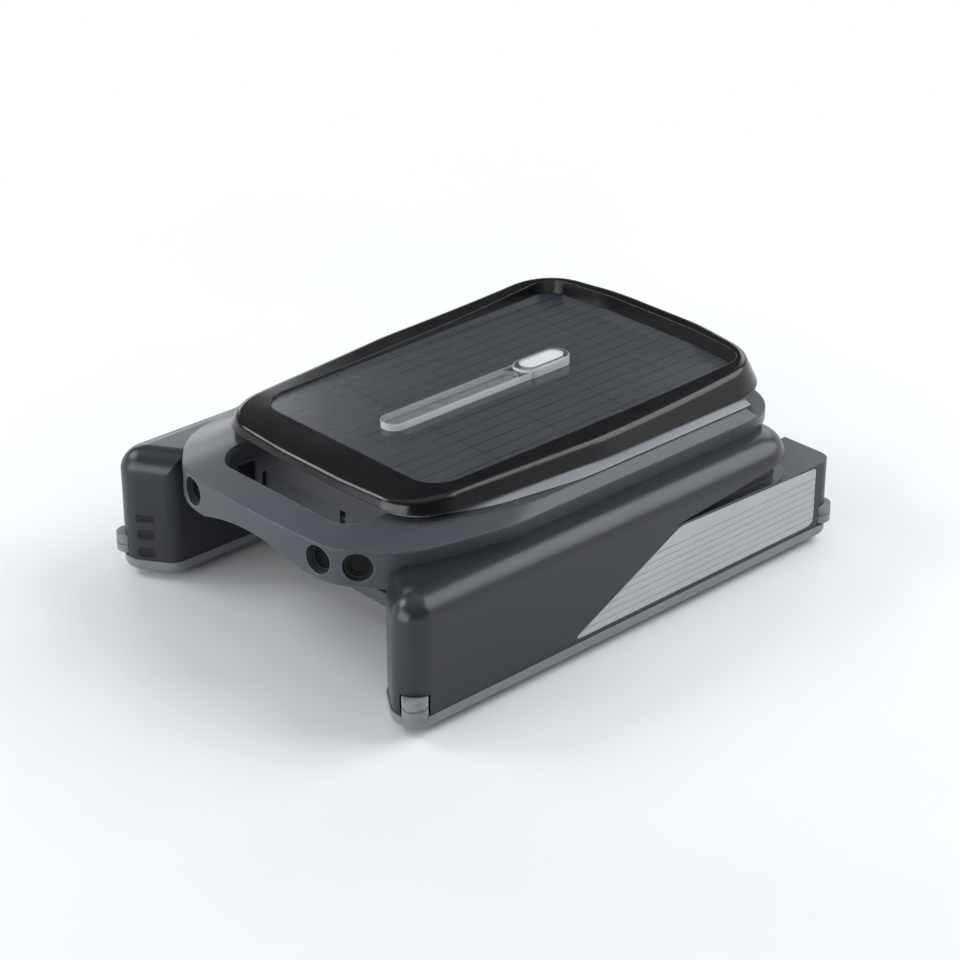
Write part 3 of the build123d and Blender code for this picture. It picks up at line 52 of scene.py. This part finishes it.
class Tree:
    """A node tree with shorthands for the nodes that are used here."""

    def __init__(self, tree):
        self.tree = tree

    def node(self, kind, **values):
        made = self.tree.nodes.new(kind)
        for key, value in values.items():
            setattr(made, key, value)
        return made

    def link(self, source, target):
        self.tree.links.new(source, target)

    def feed(self, socket, value):
        """Sets a socket to a number or a colour, or links it to another node."""
        if isinstance(value, (int, float)):
            socket.default_value = value
        elif isinstance(value, tuple):
            socket.default_value = (*value, 1.0)
        else:
            self.link(value, socket)

    def math(self, operation, *parts):
        made = self.node("ShaderNodeMath", operation=operation)
        for socket, part in zip(made.inputs, parts):
            self.feed(socket, part)
        return made.outputs["Value"]

    def spread(self, value, low, high, from_low=NOISE_LOW, from_high=NOISE_HIGH):
        """Takes a value from one range to another, clamped to it."""
        made = self.node("ShaderNodeMapRange")
        names = ("Value", "From Min", "From Max", "To Min", "To Max")
        for name, part in zip(names, (value, from_low, from_high, low, high)):
            self.feed(made.inputs[name], part)
        return made.outputs["Result"]

    def ramp(self, value, stops):
        made = self.node("ShaderNodeValToRGB")
        elements = made.color_ramp.elements
        while len(elements) < len(stops):
            elements.new(0.5)
        for element, (place, colour) in zip(elements, stops):
            element.position = place
            element.color = (*colour, 1.0)
        self.link(value, made.inputs["Fac"])
        return made.outputs["Color"]

    def axis(self, vector, name):
        made = self.node("ShaderNodeSeparateXYZ")
        self.link(vector, made.inputs["Vector"])
        return made.outputs[name]

    def rays(self, *kinds):
        """One for the named kinds of ray, zero for the rest."""
        path = self.node("ShaderNodeLightPath")
        share = path.outputs[kinds[0]]
        for kind in kinds[1:]:
            share = self.math("MAXIMUM", share, path.outputs[kind])
        return share

    def show(self, output, share, first, second):
        """Gives an output node the first shader, or the second where the share is one."""
        made = self.node("ShaderNodeMixShader")
        for socket, value in zip(made.inputs, (share, first, second)):
            self.link(value, socket)
        self.link(made.outputs["Shader"], self.tree.nodes[output].inputs["Surface"])


class Shader(Tree):
    """A principled material whose textures follow the piece's own coordinates."""

    def __init__(self, name):
        self.material = bpy.data.materials.new(name)
        self.material.use_nodes = True
        super().__init__(self.material.node_tree)
        self.bsdf = self.tree.nodes["Principled BSDF"]
        self.places = self.node("ShaderNodeTexCoord")
        self.coords = self.places.outputs["Object"]

    def put(self, **values):
        for key, value in values.items():
            self.feed(self.bsdf.inputs[key.replace("_", " ")], value)

    def noise(self, scale, detail=3.0, roughness=0.55, stretch=None):
        made = self.node("ShaderNodeTexNoise")
        for key, value in (("Scale", scale), ("Detail", detail), ("Roughness", roughness)):
            made.inputs[key].default_value = value
        coords = self.coords
        if stretch:
            mapping = self.node("ShaderNodeMapping")
            mapping.inputs["Scale"].default_value = stretch
            self.link(coords, mapping.inputs["Vector"])
            coords = mapping.outputs["Vector"]
        self.link(coords, made.inputs["Vector"])
        return made.outputs["Fac"]

    def mix(self, share, first, second):
        made = self.node("ShaderNodeMix", data_type="RGBA")
        for socket, value in (("Factor", share), (MIX_FIRST, first), (MIX_SECOND, second)):
            self.feed(made.inputs[socket], value)
        return made.outputs[MIX_RESULT]

    def rounded(self, radius):
        """The surface direction with its edges rounded off by a radius in metres."""
        made = self.node("ShaderNodeBevel", samples=4)
        made.inputs["Radius"].default_value = radius
        return made.outputs["Normal"]

    def edges(self, radius):
        """Rises to one along edges, where the rounded direction turns away from the flat one."""
        turned, flat = 0.80, 0.995
        facing = self.node("ShaderNodeVectorMath", operation="DOT_PRODUCT")
        self.link(self.rounded(radius), facing.inputs[0])
        self.link(self.node("ShaderNodeNewGeometry").outputs["Normal"], facing.inputs[1])
        return self.spread(facing.outputs["Value"], 1.0, 0.0, turned, flat)

    def bump(self, height, strength, distance, radius=0.0):
        made = self.node("ShaderNodeBump")
        made.inputs["Strength"].default_value = strength
        made.inputs["Distance"].default_value = distance
        self.link(height, made.inputs["Height"])
        if radius:
            self.link(self.rounded(radius), made.inputs["Normal"])
        self.link(made.outputs["Normal"], self.bsdf.inputs["Normal"])


def shade(colour, factor):
    return tuple(min(1.0, part * factor) for part in colour)


def two_tones(colour, dark, light, low=NOISE_LOW, high=NOISE_HIGH):
    """Ramp stops for a colour that drifts between a darker and a lighter share of itself."""
    return [(low, shade(colour, dark)), (high, shade(colour, light))]


# Kinds of material


def moulded(
    name, colour, rough, gloss=0.4, coat=0.0, grain=420.0, depth=0.00004, edge=0.0012, most_wear_and_highlight=0.35, pale=2.2
):
    """Moulded plastic: fine grain, slight drift of tone and gloss, and paler rounded edges that are
    partly wear and partly a painted highlight.

    Grain counts per metre and depth is its height; edge is the radius of the edges; the next argument is
    the most that the edges are lightened, partly as wear and partly as a painted highlight, and pale is
    how much lighter such an edge is.
    """
    tone_scale, wear_and_highlight_scale, gloss_scale = 9.0, 120.0, 24.0
    drift, least_wear_and_highlight, grain_strength = 0.05, 0.2, 0.05
    made = Shader(name)
    tone = made.ramp(made.noise(tone_scale, detail=4.0), two_tones(colour, 1 - drift, 1 + drift))
    # Paler edges: partly wear, partly a painted highlight along the rounded edges.
    wear_and_highlight_share = made.spread(made.noise(wear_and_highlight_scale, detail=4.0), least_wear_and_highlight, most_wear_and_highlight)
    worn_and_highlit_edges = made.math("MULTIPLY", made.edges(edge), wear_and_highlight_share)
    made.put(
        Base_Color=made.mix(worn_and_highlit_edges, tone, shade(colour, pale)),
        Roughness=made.spread(made.noise(gloss_scale), rough - 0.02, rough + 0.03),
        Specular_IOR_Level=gloss,
        Coat_Weight=coat,
        Coat_Roughness=0.10,
    )
    made.bump(made.noise(grain, detail=2.0), grain_strength, depth, edge)
    return made.material


def metal(name, colour, rough, stretch):
    """Turned or brushed metal with fine lines along one direction."""
    line_scale, line_strength, line_depth = 700.0, 0.2, 0.00008
    made = Shader(name)
    lines = made.noise(line_scale, detail=2.0, roughness=0.6, stretch=stretch)
    made.put(
        Base_Color=made.ramp(lines, two_tones(colour, 0.85, 1.1, low=0.35, high=0.65)),
        Roughness=made.spread(lines, rough - 0.08, rough + 0.1),
        Metallic=1.0,
    )
    made.bump(lines, line_strength, line_depth)
    return made.material


def rubber(name, colour):
    """Matte rubber with a dusty bloom."""
    bloom_scale, grain, grain_strength, grain_depth = 26.0, 2600.0, 0.5, 0.00015
    made = Shader(name)
    bloom = made.noise(bloom_scale, detail=5.0, roughness=0.65)
    made.put(
        Base_Color=made.ramp(bloom, two_tones(colour, 1.0, 1.7, low=0.35, high=0.75)),
        Roughness=made.spread(bloom, 0.68, 0.85),
    )
    made.bump(made.noise(grain, detail=2.0), grain_strength, grain_depth)
    return made.material


def solar_cells(name):
    """Dark laminate: fine busbars from front to rear, a few cell gaps across, and a clear cover."""
    busbar_pitch, busbar_width, busbar_colour = 0.0155, 0.0018, (0.006, 0.006, 0.007)
    cell_length, gap_width, gap_colour = 0.0780, 0.0014, (0.008, 0.008, 0.010)
    dark_cell, light_cell = (0.036, 0.040, 0.0475), (0.042, 0.047, 0.0555)
    tone_scale, gloss_scale = 7.0, 24.0
    line_share, line_strength, line_depth = 0.70, 0.10, 0.00006
    made = Shader(name)

    def stripes(axis, pitch, width):
        phase = made.math("PINGPONG", made.axis(made.coords, axis), pitch / 2)
        return made.math("LESS_THAN", phase, width / 2)

    def draw_lines(lines, under, colour):
        return made.mix(made.math("MULTIPLY", lines, line_share), under, colour)

    tone = made.ramp(
        made.noise(tone_scale, detail=5.0, roughness=0.6),
        [(NOISE_LOW, dark_cell), (NOISE_HIGH, light_cell)],
    )
    busbars = stripes("X", busbar_pitch, busbar_width)
    gaps = stripes("Y", cell_length, gap_width)
    made.put(
        Base_Color=draw_lines(gaps, draw_lines(busbars, tone, busbar_colour), gap_colour),
        Roughness=made.spread(made.noise(gloss_scale), 0.25, 0.29),
        Specular_IOR_Level=0.5,
        Coat_Weight=0.25,
        Coat_Roughness=0.18,
    )
    made.bump(busbars, line_strength, line_depth)
    return made.material


def clear_plastic(name, colour, rough):
    """Clear moulded plastic with faint flow lines, frosted on its flanks and edges, where the pale frost
    paints a highlight.
    """
    flow_scale, flow_stretch, flow_strength, flow_depth = 60.0, (1.0, 0.08, 1.0), 0.06, 0.0001
    steep, level = 0.3, 0.85
    flank_frost_highlight, edge_radius = 0.6, 0.0016
    clear, frosted = 0.92, 0.05
    made = Shader(name)
    flow = made.noise(flow_scale, detail=4.0, roughness=0.6, stretch=flow_stretch)
    upright = made.math("ABSOLUTE", made.axis(made.places.outputs["Normal"], "Z"))
    # Frost on the flanks and along the edges: its pale diffuse colour is a painted highlight there.
    frosted_highlit_flanks = made.math("MULTIPLY", made.spread(upright, 1.0, 0.0, steep, level), flank_frost_highlight)
    frost_and_highlight = made.math("MAXIMUM", frosted_highlit_flanks, made.edges(edge_radius))
    made.put(
        Base_Color=made.ramp(flow, two_tones(colour, 0.93, 1.0)),
        Roughness=made.spread(flow, rough - 0.03, rough + 0.04),
        Transmission_Weight=made.spread(frost_and_highlight, clear, frosted, 0.0, 1.0),
        IOR=1.46,
    )
    made.bump(flow, flow_strength, flow_depth)
    return made.material


def circuit(name):
    """Green solder mask with faint copper runs."""
    colours = {
        "Color1": (0.010, 0.085, 0.038),
        "Color2": (0.014, 0.105, 0.046),
        "Mortar": (0.040, 0.190, 0.080),
    }
    run_scale, gloss_scale, run_strength, run_depth = 160.0, 90.0, 0.3, 0.0001
    made = Shader(name)
    runs = made.node("ShaderNodeTexBrick", offset=0.5)
    runs.inputs["Scale"].default_value = run_scale
    for key, colour in colours.items():
        made.feed(runs.inputs[key], colour)
    made.link(made.coords, runs.inputs["Vector"])
    made.put(
        Base_Color=runs.outputs["Color"],
        Roughness=made.spread(made.noise(gloss_scale), 0.30, 0.45),
    )
    made.bump(runs.outputs["Fac"], run_strength, run_depth)
    return made.material


# Materials of the object, and the nodes that have each

lines_upright, lines_across, short_lines_across = (1.0, 1.0, 0.05), (0.05, 1.0, 1.0), (0.1, 1.0, 1.0)

mesh_nylon = moulded("mesh_nylon", (0.036, 0.038, 0.043), 0.40, gloss=0.5, edge=0.0001)
finishes = {
    moulded("hull_grey", (0.0190, 0.0215, 0.0275), 0.30, gloss=0.47): ["left_float", "right_float"],
    moulded("tray_grey", (0.200, 0.208, 0.230), 0.30, gloss=0.5): ["left_tray", "right_tray"],
    # The deck's edges are lightened far beyond wear: a painted highlight along its rims and sensor bores.
    moulded("deck_grey", (0.062, 0.067, 0.077), 0.28, gloss=0.33, edge=0.0014, most_wear_and_highlight=1.0, pale=6.0): [
        "deck",
    ],
    moulded("cover_grey", (0.45, 0.453, 0.467), 0.34, gloss=0.5): ["left_side_cover", "right_side_cover"],
    moulded("strip_grey", (0.265, 0.272, 0.295), 0.34, gloss=0.5): ["lid_base"],
    # The frame's much paler edges are a painted highlight along its rims.
    moulded("black_gloss", (0.0037, 0.0039, 0.0047), 0.18, depth=0.00001, pale=20.0): ["panel_frame"],
    solar_cells("solar_cells"): ["solar_panel"],
    clear_plastic("bar_clear", (0.95, 0.96, 0.97), 0.05): ["light_bar"],
    moulded("button_clear", (0.72, 0.73, 0.75), 0.24, coat=0.2): ["power_button"],
    circuit("circuit_green"): ["control_board"],
    moulded("board_grey", (0.240, 0.248, 0.265), 0.40): ["lamp_board"],
    moulded("basket_grey", (0.066, 0.070, 0.080), 0.42, gloss=0.5, grain=700.0): [
        "basket", "left_flap", "right_flap", "basket_mesh",
    ],
    rubber("rubber_black", (0.005, 0.005, 0.006)): [
        "feet", "sensor_grommets", "charge_plug", "vent_plugs",
    ],
    rubber("roller_grey", (0.170, 0.175, 0.187)): [
        "left_front_roller", "right_front_roller", "left_rear_roller", "right_rear_roller",
    ],
    moulded("sensor_black", (0.0025, 0.0025, 0.0030), 0.45, gloss=0.17): [
        "left_front_sensor", "right_front_sensor", "left_corner_sensor", "right_corner_sensor",
    ],
    metal("steel", (0.58, 0.59, 0.61), 0.30, lines_upright): [
        "tray_screws", "deck_screws", "lid_screws", "roller_pins", "lid_hinge_pins", "flap_pin",
        "left_axle", "right_axle", "left_idler_pin", "right_idler_pin",
    ],
    metal("motor_steel", (0.46, 0.47, 0.49), 0.34, lines_across): ["left_motor", "right_motor"],
    metal("bronze", (0.48, 0.32, 0.15), 0.36, short_lines_across): ["axle_bushes"],
    moulded("gear_white", (0.78, 0.77, 0.72), 0.42): [
        "left_wheel_gear", "right_wheel_gear", "left_idler_gear", "right_idler_gear",
        "left_pinion", "right_pinion",
    ],
    moulded("wheel_blue", (0.070, 0.110, 0.180), 0.40, gloss=0.5, grain=600.0): [
        "left_paddle_wheel", "right_paddle_wheel",
    ],
    moulded("plate_black", (0.032, 0.034, 0.039), 0.50, gloss=0.5, grain=600.0): [
        "left_gear_plate", "right_gear_plate", "left_battery_cradle", "right_battery_cradle",
    ],
    moulded("wrap_blue", (0.032, 0.120, 0.360), 0.22, coat=0.3, grain=240.0, depth=0.0002): [
        "left_battery_pack", "right_battery_pack",
    ],
}
for material, names in finishes.items():
    for name in names:
        mesh = nodes[name].data
        mesh.materials.clear()
        mesh.materials.append(material)

# Woven mesh on the basket's windows

WIRE_HALF = 0.00026
WIRE_LIFT = 0.00012
WIRE_PITCH = 0.0061
RIGHT, REARWARD, UPWARD = Vector((1, 0, 0)), Vector((0, 1, 0)), Vector((0, 0, 1))


def woven(sheet, across, along, corner, width, length):
    """Adds two sets of crossing wires to a mesh, each going over and under the other."""
    normal = across.cross(along)
    columns = int(width / WIRE_PITCH)
    rows = int(length / WIRE_PITCH)
    for count, steps, side, run, parity in (
        (columns, rows, across, along, 0),
        (rows, columns, along, across, 1),
    ):
        for wire in range(count + 1):
            ring = None
            for step in range(steps + 1):
                place = corner + side * (wire * WIRE_PITCH) + run * (step * WIRE_PITCH)
                place += normal * (WIRE_LIFT if (wire + step + parity) % 2 else -WIRE_LIFT)
                fresh = [
                    sheet.verts.new(place + side * (a * WIRE_HALF) + normal * (b * WIRE_HALF))
                    for a, b in ((-1, -1), (1, -1), (1, 1), (-1, 1))
                ]
                if ring:
                    for n in range(4):
                        sheet.faces.new((ring[n], ring[n - 1], fresh[n - 1], fresh[n]))
                else:
                    sheet.faces.new(fresh[::-1])
                ring = fresh
            sheet.faces.new(ring)


sheet_half = 0.0004
side_margin = 0.014
wall_height = 0.083
mesh_low, mesh_high = (Vector(corner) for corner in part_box("basket_mesh"))
left_x, floor_z = mesh_low.x + side_margin, mesh_low.z + sheet_half
wall_z = mesh_high.z - wall_height
floor_width = mesh_high.x - mesh_low.x - 2 * side_margin
floor_length = mesh_high.y - mesh_low.y - side_margin
weave = bmesh.new()
woven(weave, RIGHT, REARWARD, Vector((left_x, mesh_low.y, floor_z)), floor_width, floor_length)
for side_x in (mesh_low.x + sheet_half, mesh_high.x - sheet_half):
    woven(weave, REARWARD, UPWARD, Vector((side_x, mesh_low.y, wall_z)), floor_length, wall_height)
rear_y = mesh_high.y - sheet_half
woven(weave, RIGHT, UPWARD, Vector((left_x, rear_y, wall_z)), floor_width, wall_height)
weave_mesh = bpy.data.meshes.new("woven_mesh")
weave.to_mesh(weave_mesh)
weave.free()
weave_mesh.materials.append(mesh_nylon)
woven_mesh = bpy.data.objects.new("woven_mesh", weave_mesh)
scene.collection.objects.link(woven_mesh)
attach(woven_mesh, "hull")
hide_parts("basket_mesh")

# Floor, which keeps the shadow near the object and goes white further out

floor_size, tone_scale = 12.0, 3.0
dark_floor, light_floor = (0.87, 0.875, 0.88), (0.90, 0.905, 0.91)
white_from, white_at = 0.55, 1.15
bpy.ops.mesh.primitive_plane_add(size=floor_size, location=(0, 0, 0))
floor = bpy.context.object
floor.name = "floor"
ground = Shader("floor_pale")
ground.put(
    Base_Color=ground.ramp(
        ground.noise(tone_scale), [(NOISE_LOW, dark_floor), (NOISE_HIGH, light_floor)]
    ),
    Roughness=0.6,
)
away = ground.node("ShaderNodeVectorMath", operation="LENGTH")
ground.link(ground.coords, away.inputs[0])
ground.show(
    "Material Output",
    ground.math(
        "MULTIPLY",
        ground.rays("Is Camera Ray", "Is Glossy Ray", "Is Transmission Ray"),
        ground.spread(away.outputs["Value"], 0.0, 1.0, white_from, white_at),
    ),
    ground.bsdf.outputs["BSDF"],
    ground.node("ShaderNodeEmission").outputs["Emission"],
)
floor.data.materials.append(ground.material)

# Sky: a soft dome by height, seen as white by the camera, and near the horizon in gloss and glass too

dome_strength = 0.54
dome_tint = (0.97, 0.985, 1.0)
dome_levels = ((0.0, 0.85), (0.24, 0.85), (0.40, 0.13), (0.60, 0.12), (0.92, 0.80))
white_below, dome_above = 0.18, 0.24
world = bpy.data.worlds.new("studio")
scene.world = world
world.use_nodes = True
sky = Tree(world.node_tree)
height = sky.axis(sky.node("ShaderNodeTexCoord").outputs["Generated"], "Z")
dome = sky.tree.nodes["Background"]
sky.link(
    sky.ramp(height, [(place, shade(dome_tint, level)) for place, level in dome_levels]),
    dome.inputs["Color"],
)
dome.inputs["Strength"].default_value = dome_strength
white_sky = sky.node("ShaderNodeBackground")
sky.feed(white_sky.inputs["Color"], (1.0, 1.0, 1.0))
mirrored = sky.math(
    "MULTIPLY",
    sky.rays("Is Glossy Ray", "Is Transmission Ray"),
    sky.spread(height, 1.0, 0.0, white_below, dome_above),
)
sky.show(
    "World Output",
    sky.math("MAXIMUM", sky.rays("Is Camera Ray"), mirrored),
    dome.outputs["Background"],
    white_sky.outputs["Background"],
)


def aim(made, direction):
    """Turns a lamp or camera to look along a direction."""
    made.rotation_euler = Vector(direction).to_track_quat("-Z", "Y").to_euler()


# Softboxes: name, place, target and size in metres, and power in watts

light_colour = (0.94, 0.97, 1.0)
softboxes = (
    ("overhead", (-0.2, 0.0, 2.6), (0, 0, 0.1), (2.2, 2.2), 7),
    ("rear_right", (1.15, 1.8, 1.75), (0.12, 0.0, 0.1), (2.2, 2.1), 60),
    ("rear", (-1.00, 2.52, 1.32), (0, 0, 0.1), (1.2, 0.9), 9),
    ("left", (-2.61, 1.06, 1.08), (0, 0, 0.1), (1.2, 0.8), 11),
    ("left_front", (-1.95, -1.35, 1.95), (-0.15, -0.2, 0.1), (1.2, 1.0), 28),
    ("front_fill", (-0.3, -2.6, 0.9), (0, -0.1, 0.1), (2.6, 1.3), 40),
)
for name, place, target, size, power in softboxes:
    light = bpy.data.lights.new(name, "AREA")
    light.shape = "RECTANGLE"
    light.size, light.size_y = size
    light.energy = power
    light.color = light_colour
    softbox = bpy.data.objects.new(name, light)
    scene.collection.objects.link(softbox)
    softbox.location = place
    aim(softbox, Vector(target) - Vector(place))

# Camera at the photograph's angle

camera_data = bpy.data.cameras.new("photo_camera")
camera_data.lens = 96.75
camera_data.sensor_width = 36.0
camera_data.clip_end = 50.0
camera = bpy.data.objects.new("photo_camera", camera_data)
scene.collection.objects.link(camera)
camera.location = (1.53431, -1.42725, 1.14170)
aim(camera, (-0.65164, 0.60766, -0.45399))
scene.camera = camera

scene.view_settings.view_transform = "Standard"
